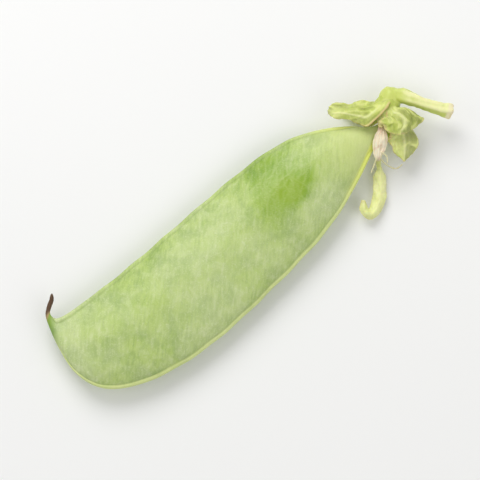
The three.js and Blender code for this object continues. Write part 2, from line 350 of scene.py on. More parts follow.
def nearest(known: Array, wanted: Array, count: int) -> tuple[Array, Array]:
    """Finds the known points that lie nearest to each wanted one.

    Args:
        known: points to look among.
        wanted: points to look from.
        count: how many to find for each.

    Returns:
        Their indices and their weights, which add up to 1 for each wanted point.
    """
    tree = kdtree.KDTree(len(known))
    for i, point in enumerate(known.tolist()):
        tree.insert(point, i)
    tree.balance()
    found = [tree.find_n(point, count) for point in wanted.tolist()]
    index = np.array([[hit[1] for hit in hits] for hits in found])
    weight = 1 / (np.array([[hit[2] for hit in hits] for hits in found]) ** 2 + TOUCHING)
    return index, weight / weight.sum(1, keepdims=True)


def largest_island(count: int, pairs: Array) -> Array:
    """Finds the largest group of points that edges join, since remeshing leaves crumbs in folds.

    Args:
        count: how many points there are.
        pairs: the two points of each edge.

    Returns:
        Whether each point belongs to it.
    """
    label, joined = np.arange(count), np.zeros(count, int)
    while not np.array_equal(label, joined):
        joined = label.copy()
        lowest = label[pairs].min(1)
        for end in pairs.T:
            np.minimum.at(label, end, lowest)
        label = label[label]
    return label == np.bincount(label).argmax()


def sweep(
    path: Path,
    steps: int,
    out_at: Callable[[Array], Array],
    section: Section,
    points_round: int,
) -> tuple[Array, Array, Array]:
    """Sweeps a changing section along a path.

    Args:
        path: the line that the section's middle follows.
        steps: how many sections there are, less one.
        out_at: the directions that the section's out side leans to, from shares along the path.
        section: gives across and out, in mm, from shares along the path and angles round it.
        points_round: points in a section.

    Returns:
        The rings, the share along the path of each point, and the angle of each point.
    """
    centre, tangent = path.run(steps)
    t = np.linspace(0, 1, steps + 1)
    across = unit(np.cross(out_at(t), tangent))
    out = np.cross(tangent, across)
    t_grid, a_grid = np.broadcast_arrays(t[:, None], turns(points_round)[None])
    x, y = section(t_grid, a_grid)
    rings = centre[:, None] + across[:, None] * x[..., None] + out[:, None] * y[..., None]
    return rings, t_grid, a_grid


def upwards(t: Array) -> Array:
    """The upward direction, for each share along a path."""
    return UP + 0 * t[:, None]


def blade(thickness: float, a: Array) -> Array:
    """Height of a thin section with blunt edges, at angles round it."""
    return thickness / 2 * np.sign(np.sin(a)) * np.abs(np.sin(a)) ** 0.5


# ---------------------------------------------------------------- shaders


class Signal:
    """A socket of a shader. Arithmetic on it adds the nodes that work it out."""

    def __init__(self, shader: Shader, socket: bpy.types.NodeSocket) -> None:
        """Wraps an output socket of shader."""
        self.shader, self.socket = shader, socket

    @property
    def many(self) -> bool:
        """True for a colour or a vector."""
        return self.socket.type in {"RGBA", "VECTOR"}

    def _maths(self, operation: str, a: Value, b: Value) -> Signal:
        """One Math node, or one Vector Math node where either side is a colour or a vector.

        Args:
            operation: the node's operation.
            a: its first value.
            b: its second value.

        Returns:
            What it gives.
        """
        if any(isinstance(v, Signal) and v.many for v in (a, b)):
            a, b = (v if isinstance(v, Signal) else (v, v, v) for v in (a, b))
            return self.shader.node("ShaderNodeVectorMath", {"operation": operation}, {0: a, 1: b})
        return self.shader.node("ShaderNodeMath", {"operation": operation}, {0: a, 1: b})

    def __add__(self, other: Value) -> Signal:
        """self + other"""
        return self._maths("ADD", self, other)

    def __sub__(self, other: Value) -> Signal:
        """self - other"""
        return self._maths("SUBTRACT", self, other)

    def __rsub__(self, other: Value) -> Signal:
        """other - self"""
        return self._maths("SUBTRACT", other, self)

    def __mul__(self, other: Value) -> Signal:
        """self * other"""
        return self._maths("MULTIPLY", self, other)

    __radd__ = __add__
    __rmul__ = __mul__

    def ramp(self, low: float, high: float) -> Signal:
        """0 below low, 1 above high, and smooth between them. It falls where low is above high.

        Args:
            low: where the result is 0.
            high: where it is 1.

        Returns:
            The result.
        """
        falls = low > high
        inputs = {"Value": self, "From Min": min(low, high), "From Max": max(low, high)}
        inputs |= {"To Min": float(falls), "To Max": float(not falls)}
        return self.shader.node("ShaderNodeMapRange", {"interpolation_type": "SMOOTHSTEP"}, inputs)


Value = Signal | float
Colour = tuple[float, float, float, float]


def colour(red: int, green: int, blue: int) -> Colour:
    """A shader colour from screen values of 0 to 255.

    Args:
        red: how red it is.
        green: how green it is.
        blue: how blue it is.

    Returns:
        The colour, as linear shares and an alpha of 1.
    """
    shares = (v / CHANNEL_MAX for v in (red, green, blue))
    linear = (v / 12.92 if v <= 0.04045 else ((v + 0.055) / 1.055) ** 2.4 for v in shares)
    return (*linear, 1.0)


class Shader:
    """The node tree of one material."""

    def __init__(self, name: str) -> None:
        """Makes an empty material.

        Args:
            name: the material's name.
        """
        self.material = bpy.data.materials.new(name)
        self.material.use_nodes = True
        self.tree = self.material.node_tree
        self.tree.nodes.clear()

    def node(
        self,
        kind: str,
        settings: dict[str, Any],
        inputs: dict[str | int, Any],
        output: str | int = 0,
    ) -> Signal:
        """Adds a node.

        Args:
            kind: the node's type.
            settings: its own settings, set before its sockets.
            inputs: values or signals for its sockets, by name or by number.
            output: the output that is wanted, by name or by number among those in use.

        Returns:
            That output.
        """
        node = self.tree.nodes.new(kind)
        for name, setting in settings.items():
            setattr(node, name, setting)
        for key, given in inputs.items():
            socket = self._pick(node.inputs, key)
            if isinstance(given, Signal):
                self.tree.links.new(given.socket, socket)
            else:
                socket.default_value = given
        return Signal(self, self._pick(node.outputs, output)) if node.outputs else None

    @staticmethod
    def _pick(sockets: Iterable[bpy.types.NodeSocket], key: str | int) -> bpy.types.NodeSocket:
        """The socket with this name or number, among those in use."""
        in_use = [s for s in sockets if s.enabled]
        return in_use[key] if isinstance(key, int) else next(s for s in in_use if s.name == key)

    def value(self, name: str) -> Signal:
        """The named value of the mesh."""
        return self.node("ShaderNodeAttribute", {"attribute_name": name}, {}, "Fac")

    def place(self, stretch: Point = (1, 1, 1), turn: float = 0) -> Signal:
        """The place on the piece in mm, turned about the upright axis and then stretched.

        Args:
            stretch: what each axis is multiplied by.
            turn: the angle, in radians.

        Returns:
            The place.
        """
        here = self.node("ShaderNodeTexCoord", {}, {}, "Object")
        size = tuple(share / MM for share in stretch)
        turned = self.node("ShaderNodeMapping", {}, {"Vector": here, "Rotation": (0, 0, turn)})
        return self.node("ShaderNodeMapping", {}, {"Vector": turned, "Scale": size})

    def noise(self, where: Signal, grain: float, detail: float = 2, twist: float = 0) -> Signal:
        """Cloudy noise from 0 to 1 about grain mm across."""
        inputs = {"Vector": where, "Scale": 1 / grain, "Detail": detail, "Distortion": twist}
        return self.node("ShaderNodeTexNoise", {}, inputs, "Fac")

    def mix(self, a: Signal | Colour, b: Signal | Colour, share: Value) -> Signal:
        """Colour a, turning to b as share goes from 0 to 1."""
        inputs = {"A": a, "B": b, "Factor": share}
        return self.node("ShaderNodeMix", {"data_type": "RGBA"}, inputs)

    def layers(self, ground: Signal | Colour, *coats: tuple[Colour, Value]) -> Signal:
        """The ground under coats, each a colour and the share that it covers.

        Args:
            ground: the colour under all of them.
            coats: the coats, from the lowest up.

        Returns:
            The colour that results.
        """
        for shade, share in coats:
            ground = self.mix(ground, shade, share)
        return ground

    def bump(self, height: Signal, depth: float) -> Signal:
        """A normal for a relief of depth mm between heights of 0 and 1."""
        return self.node("ShaderNodeBump", {}, {"Height": height, "Distance": depth * MM}, "Normal")

    def finish(self, inputs: dict[str, Any]) -> bpy.types.Material:
        """Ends the material with a principled shader that has these inputs.

        Args:
            inputs: values or signals for the shader's sockets, by name.

        Returns:
            The material.
        """
        shine = self.node("ShaderNodeBsdfPrincipled", {}, inputs)
        self.node("ShaderNodeOutputMaterial", {}, {"Surface": shine})
        return self.material


@dataclass(frozen=True)
class Glow:
    """How light spreads inside a tissue: its share, and its reach in red, green and blue."""

    share: float
    reach: Point
    scale: float  # that the reach is counted in, in metres

    def inputs(self) -> dict[str, Any]:
        """The shader's inputs for it."""
        given = {"Subsurface Weight": self.share, "Subsurface Radius": self.reach}
        return given | {"Subsurface Scale": self.scale}


@dataclass(frozen=True)
class PodFinish:
    """The shell's skin: waxy green with a dull bloom and fine veins, paler at the seams, where the dorsal
    seam's paleness is partly painted light and the ventral seam is dimmed as painted shade; painted
    highlights over the peas and painted shade in the creases beside the seams.
    """

    deep: Colour = colour(108, 148, 40)
    fresh: Colour = colour(132, 168, 34)
    clear: Colour = colour(132, 166, 2)
    leaf: Colour = colour(168, 196, 82)
    bloom: Colour = colour(216, 226, 176)
    vein: Colour = colour(206, 220, 146)
    # rim and rim_root: the seams' own paler and yellower greens, made brighter still as painted light where
    # the dorsal seam turns from the light
    rim: Colour = colour(224, 233, 156)
    # painted shade: groove is the darker green laid into the crease beside each seam
    groove: Colour = colour(112, 146, 54)
    neck: Colour = colour(216, 225, 150)
    rim_root: Colour = colour(232, 240, 118)
    straw: Colour = colour(176, 150, 104)
    dry: Colour = colour(96, 72, 52)
    fibre_turn: float = 0.72
    fibre_stretch: Point = (1.0, 0.16, 0.5)
    fibre_size: float = 0.5
    broad_size: float = 15
    cloud_size: float = 5
    patch_size: float = 2.6
    speckle_size: float = 0.3
    relief: float = 0.18  # depth in mm
    glow: Glow = Glow(0.1, (0.7, 1.0, 0.35), 0.0004)
    gloss: float = 0.35
    wax: float = 0.1
    wax_roughness: float = 0.4

    def material(self) -> bpy.types.Material:
        """Builds the skin's material.

        Returns:
            The material.
        """
        s = Shader("pod_skin")
        here = s.place()
        fibres = s.noise(s.place(self.fibre_stretch, self.fibre_turn), self.fibre_size, 4)
        broad = s.noise(here, self.broad_size, 3, 0.6)
        clouds = s.noise(here, self.cloud_size, 3, 0.4)
        patches = s.noise(here, self.patch_size, 4, 0.9)
        speckle = s.noise(here, self.speckle_size, 2)
        rim, crease, dry = s.value("rim"), s.value("crease"), s.value("dry")
        vein, pea = s.value("vein"), s.value("pea")

        moist = s.value("moist") * 1.3 + (broad - 0.5) * 1.2
        dusty = moist.ramp(0.5, -0.4) * 0.5 + patches.ramp(0.4, 0.8) * 0.28
        bloom = dusty + speckle.ramp(0.5, 0.75) * 0.25 + fibres.ramp(0.5, 0.32) * 0.15
        bloom = bloom * (1 - moist.ramp(0.1, 1.0) * 0.85)
        green = s.layers(
            s.mix(self.deep, self.leaf, clouds.ramp(0.2, 0.65)),
            (self.fresh, moist.ramp(0.1, 0.7) * 0.9),
            (self.clear, moist.ramp(0.7, 1.2)),
            (self.deep, fibres.ramp(0.48, 0.7) * (1 - moist.ramp(0.2, 1.0)) * 0.5),
            # painted highlight: the swellings over the peas are lightened with leaf green
            (self.leaf, pea * 0.35),
            (self.bloom, bloom * s.value("bloom")),
            (self.vein, vein * 0.35),
            (self.neck, s.value("neck") * 0.8),
            # painted shade in the crease beside each seam
            (self.groove, crease * 0.3),
            # the seams: paler colour, partly painted light on the dorsal seam; the ventral seam is kept dim
            # as painted shade
            (self.rim, rim * (0.45 + 0.5 * patches)),
            (self.rim_root, rim * s.value("neck")),
            (self.straw, dry.ramp(0.05, 0.55)),
            (self.dry, (dry + (patches - 0.5) * 0.8).ramp(0.45, 0.95)),
        )
        relief = fibres * 0.4 + speckle * 0.2 + patches * 0.4
        inputs = {
            "Base Color": green,
            "Roughness": 0.4 + bloom * 0.25 + dry * 0.3,
            "Normal": s.bump(relief, self.relief),
            "Specular IOR Level": self.gloss,
            "Coat Weight": self.wax,
            "Coat Roughness": self.wax_roughness,
        }
        return s.finish(inputs | self.glow.inputs())


@dataclass(frozen=True)
class CalyxFinish:
    """Withering leaf: yellow green with pale veins, buff and brown where it has dried, painted paler on the
    crests of its folds as painted highlight, and olive in their valleys and on the far half of a lobe as
    painted shade.
    """

    leaf: Colour = colour(190, 204, 92)
    pale: Colour = colour(232, 237, 146)
    # olive: used as painted shade in the folds' valleys and on the half of a lobe that turns from the light
    olive: Colour = colour(126, 136, 62)
    vein: Colour = colour(243, 245, 176)
    buff: Colour = colour(224, 208, 142)
    brown: Colour = colour(190, 152, 96)
    cloud_size: float = 2.2
    mottle_size: float = 0.7
    grain_size: float = 0.2
    relief: float = 0.1  # depth in mm
    glow: Glow = Glow(0.2, (0.8, 1.0, 0.3), 0.0003)

    def material(self) -> bpy.types.Material:
        """Builds the leaf's material.

        Returns:
            The material.
        """
        s = Shader("calyx_leaf")
        here = s.place()
        clouds = s.noise(here, self.cloud_size, 3, 0.5)
        mottle = s.noise(here, self.mottle_size, 3, 0.6)
        grain = s.noise(here, self.grain_size, 2)
        vein, dry, olive = s.value("vein"), s.value("dry"), s.value("olive")
        # painted light from the folds: paler on their crests as painted highlight, olive in their valleys as
        # painted shade
        crest = s.value("crest") + (mottle - 0.5) * 0.6
        dryness = dry + (mottle - 0.5) * 0.5
        leaf = s.layers(
            self.leaf,
            (self.pale, clouds.ramp(0.42, 0.7) * 0.5),
            (self.olive, crest.ramp(0.5, 0.1) * 0.4),
            # painted shade: olive on the half of a lobe that turns from the light
            (self.olive, olive * (0.3 + 0.6 * clouds)),
            (self.pale, crest.ramp(0.6, 0.95) * 0.6),
            (self.vein, vein * 0.7),
            (self.vein, s.value("pale") * (0.5 + 0.6 * clouds)),
            (self.buff, dryness.ramp(0.3, 0.75) * 0.8),
            (self.brown, dryness.ramp(0.7, 1.1) * 0.75),
        )
        inputs = {
            "Base Color": leaf,
            "Roughness": 0.42 + mottle * 0.25,
            "Normal": s.bump(mottle * 0.6 + grain * 0.4, self.relief),
        }
        return s.finish(inputs | self.glow.inputs())


@dataclass(frozen=True)
class StalkFinish:
    """A ribbed green stem, paler along its ribs and along a painted highlight stripe down one side, darker
    in its furrows and with painted shade on the other side, with a cream broken end.
    """

    leaf: Colour = colour(208, 219, 112)
    # the rib and furrow colours also carry a painted highlight stripe and painted shade on the rod's two
    # sides
    rib: Colour = colour(246, 246, 180)
    furrow_and_shade: Colour = colour(168, 186, 74)
    cut: Colour = colour(242, 234, 188)
    pith: Colour = colour(214, 188, 134)
    cloud_size: float = 1.8
    grain_size: float = 0.25
    relief: float = 0.08  # depth in mm
    glow: Glow = Glow(0.2, (0.8, 1.0, 0.4), 0.0004)

    def material(self) -> bpy.types.Material:
        """Builds the stem's material.

        Returns:
            The material.
        """
        s = Shader("stalk_skin")
        here = s.place()
        clouds = s.noise(here, self.cloud_size, 3, 0.5)
        grain = s.noise(here, self.grain_size, 2)
        rib, cut = s.value("rib") + (clouds - 0.5) * 0.5, s.value("cut")
        ragged = cut + (grain - 0.5) * 0.5
        stem = s.layers(
            self.furrow_and_shade,
            # darker in the furrows and on the painted shaded side, paler on the ribs and along the painted
            # highlight stripe
            (self.leaf, rib.ramp(0.0, 0.45)),
            (self.rib, rib.ramp(0.45, 1.0)),
            (self.cut, ragged.ramp(0.1, 0.5)),
            (self.pith, (cut * grain).ramp(0.42, 0.66) * 0.8),
        )
        inputs = {
            "Base Color": stem,
            "Roughness": 0.38 + cut * 0.4,
            "Normal": s.bump(grain * 0.5 + clouds * 0.5, self.relief),
        }
        return s.finish(inputs | self.glow.inputs())


@dataclass(frozen=True)
class SheathFinish:
    """Withered petal tissue: papery, pinkish cream, with darker threads, and pleats painted pinker in their
    valleys as painted shade and paler on their crests as painted highlight.
    """

    paper: Colour = colour(246, 236, 206)
    pink: Colour = colour(224, 190, 162)
    pale: Colour = colour(252, 248, 232)
    thread: Colour = colour(206, 204, 158)
    cloud_size: float = 1.1
    grain_size: float = 0.2
    relief: float = 0.06  # depth in mm
    glow: Glow = Glow(0.25, (1.0, 0.8, 0.6), 0.0003)

    def material(self) -> bpy.types.Material:
        """Builds the tissue's material.

        Returns:
            The material.
        """
        s = Shader("dry_petal")
        here = s.place()
        clouds = s.noise(here, self.cloud_size, 3, 0.5)
        grain = s.noise(here, self.grain_size, 3)
        pleat, thread = s.value("pleat"), s.value("thread")
        paper = s.layers(
            self.paper,
            (self.pink, clouds.ramp(0.48, 0.7) * 0.65),
            # painted shade in the pleats' valleys and painted highlight on their crests
            (self.pink, pleat.ramp(0.5, 0.05) * 0.3 * grain),
            (self.pale, pleat.ramp(0.5, 1.0) * 0.5 * clouds),
            (self.pink, s.value("aged") * (0.3 + 0.6 * grain)),
            (self.thread, thread * 0.85),
        )
        inputs = {
            "Base Color": paper,
            "Roughness": 0.7 + grain * 0.15,
            "Normal": s.bump(grain, self.relief),
        }
        return s.finish(inputs | self.glow.inputs())


@dataclass(frozen=True)
class FloorFinish:
    """A matt pale board."""

    board: Colour = colour(250, 250, 249)
    shade: Colour = colour(245, 245, 243)
    cloud_size: float = 160
    roughness: float = 0.7

    def material(self) -> bpy.types.Material:
        """Builds the board's material.

        Returns:
            The material.
        """
        s = Shader("floor")
        board = s.mix(self.board, self.shade, s.noise(s.place(), self.cloud_size))
        return s.finish({"Base Color": board, "Roughness": self.roughness})


# ---------------------------------------------------------------- the pod


@dataclass(frozen=True)
class Cut:
    """A cut across the pod: its two seam points, as s and y, and half its height."""

    ventral: tuple[float, float]
    dorsal: tuple[float, float]
    half: float


@dataclass(frozen=True)
class Patch:
    """A soft patch of the skin: its middle and its reach, as s and y, and its strength."""

    middle: tuple[float, float]
    reach: tuple[float, float]
    strength: float

    def at(self, s: Array, y: Array) -> Array:
        """Its share at each point, which falls away to nothing past its reach."""
        along, across = (s - self.middle[0]) / self.reach[0], (y - self.middle[1]) / self.reach[1]
        return self.strength * np.exp(-(along**2) - across**2)


@dataclass(frozen=True)
class VeinNet:
    """Veins that leave the ventral seam, lean towards the beak and fork across one side."""

    seed: int
    first_s: float = 4.0
    last_s: float = 77.0
    spacing: float = 2.1
    step: float = 0.2
    lean: float = 0.85
    wander: float = 0.09
    fork_after: float = 3.2
    fork_angle: float = 0.5
    fading: float = 0.72
    generations: int = 3
    margin: float = 1.0  # kept clear of each seam
    turn_back_at: float = 0.8  # share of the margin where a vein that heads back ends
    scatter: float = 0.3  # of the places where veins start, as a share of the spacing
    straightening: float = 0.02  # how far each step turns a vein back to the usual lean
    recoil: float = 0.25  # how far a vein turns away from its fork, as a share of the fork's angle
    first_fork: tuple[float, float] = (0.5, 1.6)  # how far it may be, as shares of fork_after
    next_fork: tuple[float, float] = (0.6, 1.6)

    def grow(self, half_width: Callable[[float], float]) -> Array:
        """Grows the net.

        Args:
            half_width: the pod's half width at s.

        Returns:
            Points on the veins, as s, distance from the middle line, and strength.
        """
        rng = np.random.default_rng(self.seed)
        grown: list[tuple[float, float, float]] = []
        count = int((self.last_s - self.first_s) / self.spacing)
        buds = []
        for i in range(count):
            s = self.first_s + (i + rng.uniform(-self.scatter, self.scatter)) * self.spacing
            buds.append((s, half_width(s) - self.margin, self.lean, 1.0, 0))
        while buds:
            s, q, heading, strength, generation = buds.pop(0)
            until_fork = self.fork_after * rng.uniform(*self.first_fork)
            while self.first_s < s < self.last_s and q > self.margin - half_width(s):
                grown.append((s, q, strength))
                pull = self.straightening * (self.lean - heading)
                heading += rng.normal(0, self.wander) + pull
                s += math.sin(heading) * self.step
                q -= math.cos(heading) * self.step
                until_fork -= self.step
                if q > half_width(s) - self.margin * self.turn_back_at:
                    break
                if until_fork < 0 and generation < self.generations:
                    side = rng.choice((-1, 1))
                    turned = heading + side * self.fork_angle
                    buds.append((s, q, turned, strength * self.fading, generation + 1))
                    heading -= side * self.fork_angle * self.recoil
                    until_fork = self.fork_after * rng.uniform(*self.next_fork)
        return np.array(grown)


@dataclass
class Pod:
    """The shell with its neck, its two seams, its beak and the withered style."""

    cuts: tuple[Cut, ...] = (
        Cut((-4.5, 3.4), (-5.9, 2.1), 1.0),
        Cut((-2.2, 1.6), (-3.4, 0.1), 1.05),
        Cut((0.3, 2.5), (-0.8, -1.0), 1.35),
        Cut((3.2, 4.9), (2.4, -2.4), 1.9),
        Cut((7.1, 7.3), (6.9, -4.8), 2.6),
        Cut((12.2, 9.5), (12.6, -7.5), 3.2),
        Cut((18.5, 10.9), (19.2, -10.0), 3.6),
        Cut((27.0, 11.0), (27.5, -11.9), 3.85),
        Cut((36.5, 10.4), (37.0, -13.4), 3.9),
        Cut((46.0, 9.6), (46.8, -14.7), 3.9),
        Cut((55.5, 8.8), (56.6, -15.2), 3.85),
        Cut((64.5, 8.3), (66.0, -14.3), 3.6),
        Cut((71.6, 8.1), (73.6, -11.8), 3.1),
        Cut((75.0, 8.2), (78.2, -8.2), 2.5),
        Cut((76.6, 8.6), (80.3, -2.8), 1.8),
        Cut((77.2, 9.2), (80.0, 3.2), 1.25),
        Cut((77.3, 9.9), (79.2, 7.4), 0.85),
        Cut((77.0, 10.5), (78.3, 10.3), 0.55),
        Cut((76.2, 11.1), (76.9, 11.8), 0.42),
        Cut((75.0, 12.0), (75.6, 12.7), 0.38),
        Cut((74.2, 13.2), (74.9, 13.5), 0.32),
    )
    middle_s: float = 42.0
    middle_z: float = 4.02
    bow: float = 0.8
    bead_ventral: float = 0.85
    bead_dorsal: float = 0.72
    crease_depth: float = 0.1
    crease_width: float = 0.16
    rim_softness: float = 0.12
    bead_inset: float = 0.45
    fullness: tuple[float, float] = (2.2, 0.5)  # powers of the valves' rounded section
    fullness_rise: float = 0.2  # added to the second power where the pod is wide
    seam_groove: float = 0.35
    seam_scallop: float = 0.16
    pea_count: int = 7
    pea_first_s: float = 14.5
    pea_pitch: float = 8.7
    pea_swell: float = 0.6
    pea_spread: float = 3.1
    pea_across: float = 0.14  # how far the peas lie to the ventral side, as a share
    pea_end_loss: float = 0.35  # how much smaller the peas are towards both ends
    pea_variety: float = 0.12
    pea_beat: float = 2.3  # of that variety, in radians a pea
    vein_height: float = 0.075
    vein_width: float = 0.17
    # painted shade: the ventral seam keeps only a little of the seams' paleness
    ventral_rim: float = 0.15  # how pale the ventral seam is beside the dorsal one
    root_band: tuple[float, float] = (0.8, 1.3)  # how far the yellow of the dorsal seam reaches
    seam_groove_width: float = 0.3
    tip_taper: float = 0.6
    tip_from: float = 0.955  # where the taper starts, as a share of the length
    tip_crinkle: float = 0.07
    uneven: float = 0.13
    fine_uneven_share: float = 0.35
    broad_waves: Ripples = Ripples(11, 17)
    fine_waves: Ripples = Ripples(12, 6)
    tip_waves: Ripples = Ripples(13, 0.9)
    vein_seeds: tuple[int, int] = (21, 22)  # of the upper side and the lower one
    fresh_patches: tuple[Patch, ...] = (
        Patch((22.5, 3.0), (7.0, 6.5), 0.7),
        Patch((21.3, 0.7), (2.6, 2.4), 1.1),
    )
    dull_patches: tuple[Patch, ...] = (
        Patch((17.0, -5.0), (6.0, 4.0), 0.5),
        Patch((80.0, 0.0), (9.0, 9.0), 0.4),
    )
    rows: int = 400
    points_a_side: int = 84
    close_rows: int = 4000  # that the even rows are worked out from
    close_points: int = 260  # that a row's even points are worked out from
    squeeze: float = 1e-3  # depth in mm of the layer where the box's faces hold points in
    finish: PodFinish = field(default_factory=PodFinish)

    def build(self) -> bpy.types.Object:
        """Builds the shell.

        Returns:
            Its object, which stands for the plain solid.
        """
        surface = self._surface()
        low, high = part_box("pod")
        surface.keep_in(low, high, self.squeeze)
        made = surface.to_object("pod_skin", self.finish.material())
        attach(made, BODY)
        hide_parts("pod")
        return made

    def _shares(self) -> Array:
        """Places of the rows between the first cut and the last, at even steps of length.

        Returns:
            The places, as shares from 0 to 1.
        """
        t = np.linspace(0, 1, self.close_rows)
        ventral, dorsal, _ = self._cuts_at(t)
        length = summed(np.linalg.norm(np.diff((ventral + dorsal) / 2, axis=0), axis=1))
        return np.interp(np.linspace(0, length[-1], self.rows + 1), length, t)

    def _cuts_at(self, t: Array) -> tuple[Array, Array, Array]:
        """The ventral seam, the dorsal seam and half the height at shares between the cuts.

        Args:
            t: the shares, from 0 at the first cut to 1 at the last.

        Returns:
            The three of them, one row for each share.
        """
        sizes = ([c.ventral for c in self.cuts], [c.dorsal for c in self.cuts], [c.half for c in self.cuts])
        ventral, dorsal, half = (through(knots, t) for knots in sizes)
        return ventral, dorsal, half

    def _swelling(self, s: Array, across: Array, half_width: Array) -> Array:
        """Height of the swellings over the peas.

        Args:
            s: how far along each point is.
            across: its place between the middle line and a seam, as a share.
            half_width: half the width of its row.

        Returns:
            The height in mm at each point.
        """
        middle = (self.pea_count - 1) / 2
        height = np.zeros(np.broadcast_shapes(s.shape, across.shape))
        for i in range(self.pea_count):
            size = 1 - self.pea_end_loss * abs(i - middle) / self.pea_count
            size += self.pea_variety * math.sin(self.pea_beat * i)
            ds = (s - self.pea_first_s - i * self.pea_pitch) / self.pea_spread
            dy = (across - self.pea_across) * half_width / self.pea_spread
            height = height + self.pea_swell * size * np.exp(-(ds**2 + dy**2) / 2)
        return height

    def _scallop(self, s: Array) -> Array:
        """How far the seams draw in between two peas."""
        between = 0.5 - 0.5 * np.cos(2 * math.pi * (s - self.pea_first_s) / self.pea_pitch)
        return self.seam_scallop * between * ramp(s, 8, 16) * (1 - ramp(s, 64, 72))

    def _profile(self, half_width: Array, half: Array) -> dict[str, Array]:
        """The upper half of each row's outline, from the dorsal seam to the ventral one.

        Args:
            half_width: half the width of each row.
            half: half the height of each row.

        Returns:
            At even steps round the outline, the share of the half width as "across", the
            "height", and where the "rim" and the "crease" beside it are.
        """
        across = -np.cos(np.linspace(0, math.pi, self.close_points))[None]
        w, h = half_width[:, None], half[:, None]
        lens_share = ramp(w, 1.4, 5)
        bead = np.where(across > 0, self.bead_ventral, self.bead_dorsal) * lens_share
        inset = np.minimum(1, np.abs(across) / (1 - self.bead_inset * bead / w))
        power, root = self.fullness
        lens = h * (1 - inset**power) ** (root + self.fullness_rise * lens_share)
        from_edge = (1 - np.abs(across)) * w
        ridge = np.sqrt(np.maximum(0, bead**2 - (from_edge - bead) ** 2))
        above = ridge - lens
        rim = ramp(above, -self.rim_softness, self.rim_softness) * ramp(w, 0.7, 2.5)
        crease = bell(above, self.crease_width) * ramp(from_edge, 0.2, 0.5) * (from_edge < 2)
        close = {
            "across": np.broadcast_to(across, lens.shape),
            "height": np.maximum(lens, ridge) - self.crease_depth * crease * lens_share,
            "rim": rim,
            "crease": crease * lens_share,
        }
        even: dict[str, list[Array]] = {name: [] for name in close}
        for i, row_w in enumerate(half_width):
            length = summed(np.hypot(np.diff(close["across"][i]) * row_w, np.diff(close["height"][i])))
            stops = np.linspace(0, length[-1], self.points_a_side + 1)
            for name, grid in close.items():
                even[name].append(np.interp(stops, length, grid[i]))
        return {name: np.array(rows) for name, rows in even.items()}

    def _surface(self) -> Surface:
        """The whole skin as a surface, with the values that its finish reads.

        Returns:
            The surface.
        """
        t = self._shares()
        ventral, dorsal, half = self._cuts_at(t)
        middle, reach = (ventral + dorsal) / 2, (ventral - dorsal) / 2
        half_width = np.linalg.norm(reach, axis=1) - self._scallop(middle[:, 0])
        taper = 1 - self.tip_taper * ramp(t, self.tip_from, 1.0) ** 2
        half_width, half = half_width * taper, half * taper
        reach = unit(reach)
        upper = self._profile(half_width, half)
        whole = {name: np.concatenate([v, v[:, -2:0:-1]], 1) for name, v in upper.items()}
        across = whole["across"]
        side = np.where(np.arange(across.shape[1]) <= self.points_a_side, 1.0, -1.0)[None]
        w = half_width[:, None]
        height = whole["height"] * side
        groove = self.seam_groove * ramp(w, 2, 7) * bell(height, self.seam_groove_width) * (across > 0)
        q = across * w - groove
        spot = middle[:, None] + reach[:, None] * q[..., None]
        s = spot[..., 0]

        inner = 1 - np.abs(across) ** 6
        swell = self._swelling(s, across, w) * (1 - across**4) * ramp(w, 2, 7)
        flat = np.stack([s, q, side * 3 + 0 * s], -1)
        fine_waves = self.fine_waves.at(flat) * self.uneven * self.fine_uneven_share
        waves = self.broad_waves.at(flat) * self.uneven + fine_waves
        vein = self._veins(s, q, side, middle[:, 0], half_width)
        withered = ramp(t, 0.86, 0.93)[:, None]
        crinkle = self.tip_waves.at(flat) * self.tip_crinkle * withered
        relief = swell + (waves * ramp(w, 3, 9) + vein * self.vein_height) * inner + crinkle
        bend = self.bow * ((s - self.middle_s) / self.middle_s) ** 2
        z = np.maximum(0, self.middle_z + bend + height + side * relief)

        y = spot[..., 1]
        moist = sum(patch.at(s, y) for patch in self.fresh_patches)
        moist = moist - sum(patch.at(s, y) for patch in self.dull_patches)
        neck = 1 - ramp(middle[:, :1], 2.0, 17.0)
        low, high = self.root_band
        band = (1 - ramp((1 + across) * w, low, high)) * (1 - ramp(middle[:, :1], 8, 18))
        # painted shade dims the ventral seam; the dorsal seam's full paleness is partly painted light
        plain = np.where(across > 0, self.ventral_rim * (1 - neck) + 0.6 * neck, 1)
        surface = Surface()
        surface.add_tube(
            at(np.stack([s, y, z], -1)),
            moist=moist,
            rim=np.maximum(whole["rim"] * plain, band),
            crease=whole["crease"],
            vein=vein * inner,
            pea=np.clip(swell / self.pea_swell, 0, 1),
            neck=neck[:, 0],
            bloom=ramp(w, 0.8, 5) * (0.75 + 0.25 * side),
            dry=1 - ramp(1 - t, 0.12, 0.2),
        )
        return surface

    def _veins(
        self,
        s: Array,
        q: Array,
        side: Array,
        row_s: Array,
        half_width: Array,
    ) -> Array:
        """Strength of the veins at each point, from nets that differ on the two sides.

        Args:
            s: how far along each point is.
            q: its distance from the middle line.
            side: 1 on the upper side and -1 on the lower.
            row_s: the middle of each row.
            half_width: half the width of each row.

        Returns:
            0 away from every vein, and up to 1 on a main one.
        """
        rising = row_s.argmax() + 1

        def width_at(place: float) -> float:
            """Half the width of the pod at s."""
            return float(np.interp(place, row_s[:rising], half_width[:rising]))

